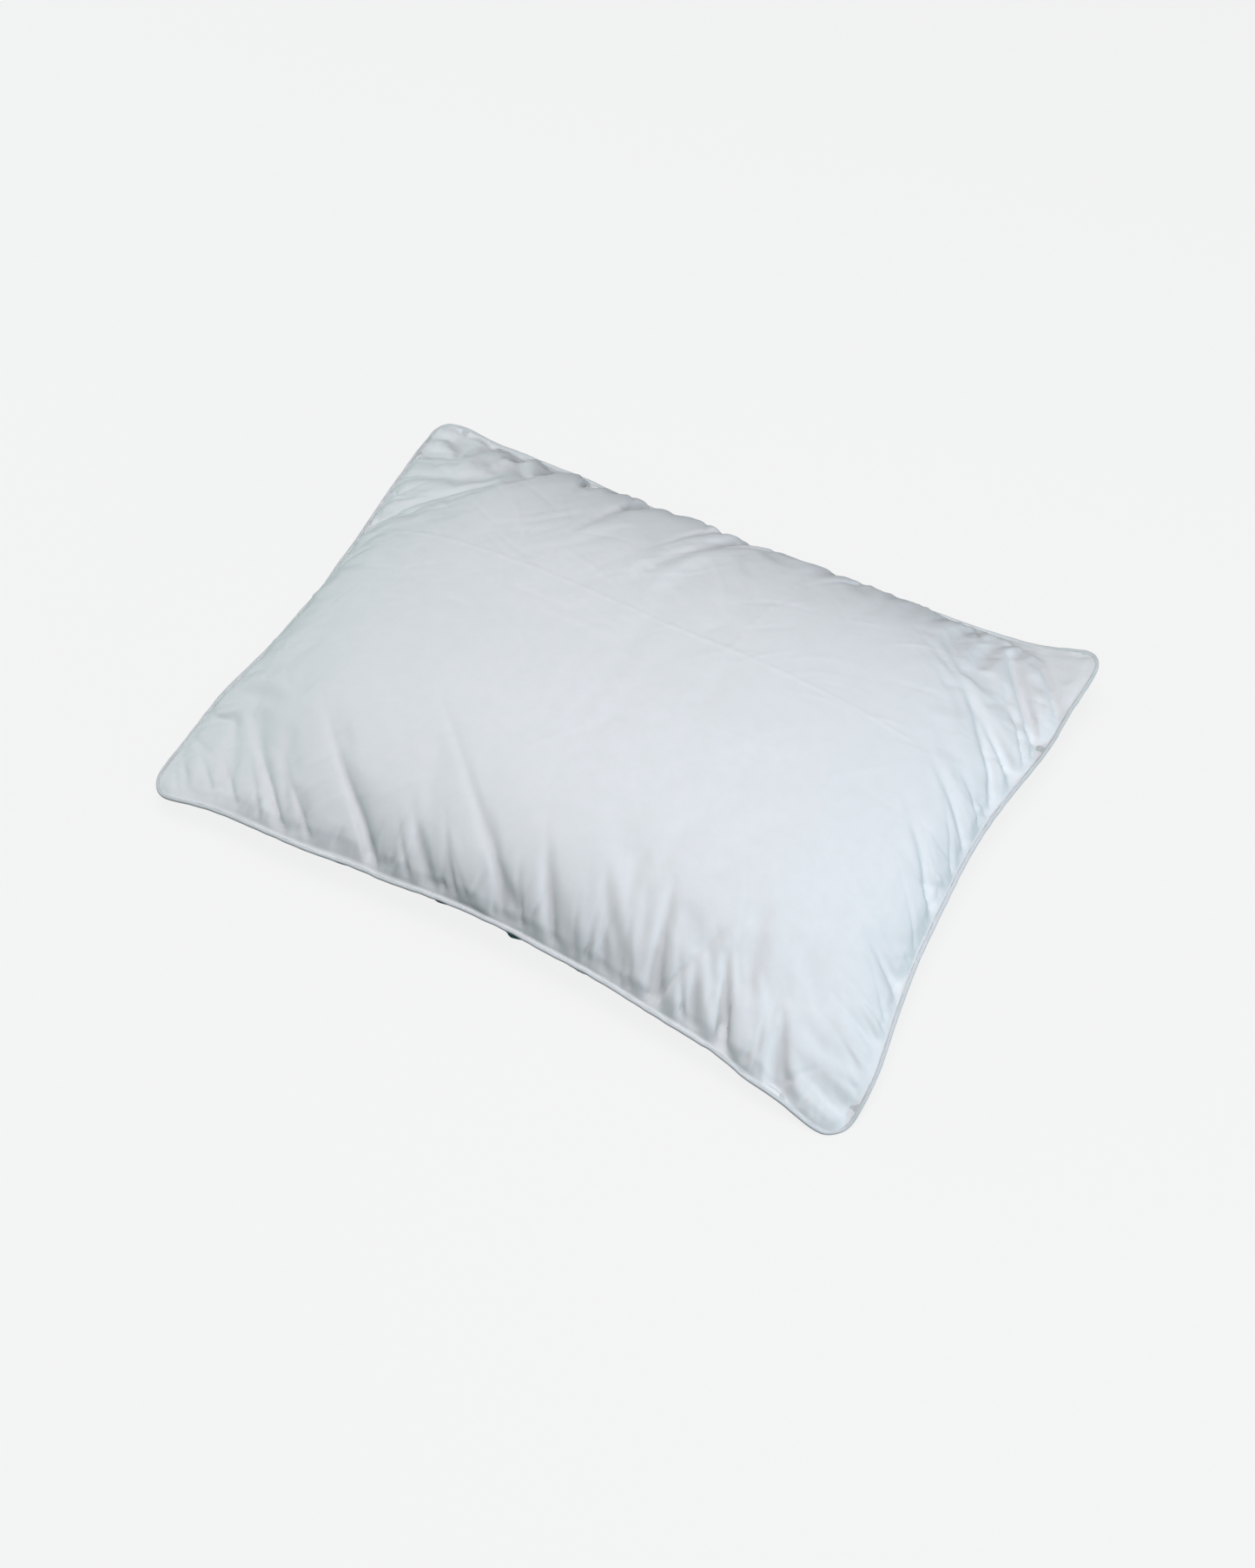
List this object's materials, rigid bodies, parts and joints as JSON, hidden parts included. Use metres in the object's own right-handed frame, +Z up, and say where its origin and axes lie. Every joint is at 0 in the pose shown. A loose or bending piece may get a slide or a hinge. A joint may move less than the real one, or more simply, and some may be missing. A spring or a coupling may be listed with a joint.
{
  "type": "bed pillow",
  "caption": "Rectangular bed pillow with corded edges, a cotton shell and a feather core between two layers of down, lying flat.",
  "frame": {"origin": "middle of the flat patch on the underside that the pillow rests on", "axes": "+X along the length, +Y across the width towards the edge with the label, +Z up through the crown"},
  "size_m": [0.6608, 0.5108, 0.134],
  "materials": {
    "shell_cloth": "close-woven cotton percale",
    "piping_cloth": "the same percale cut on the bias",
    "cord": "soft twisted cotton",
    "casing_cloth": "light cotton cambric",
    "down": "white down",
    "feather": "small feathers",
    "thread": "polyester sewing thread",
    "label_tape": "smooth woven tape, blank"
  },
  "bodies": {
    "root": {"shell_top_panel": "shell_cloth", "shell_bottom_panel": "shell_cloth", "piping_cover": "piping_cloth", "piping_cord": "cord", "upper_divider": "casing_cloth", "lower_divider": "casing_cloth", "top_down_fill": "down", "core_feather_fill": "feather", "bottom_down_fill": "down", "seam_needle_thread": "thread", "seam_bobbin_thread": "thread", "closing_stitch": "thread", "care_label": "label_tape"}
  },
  "joints": []
}
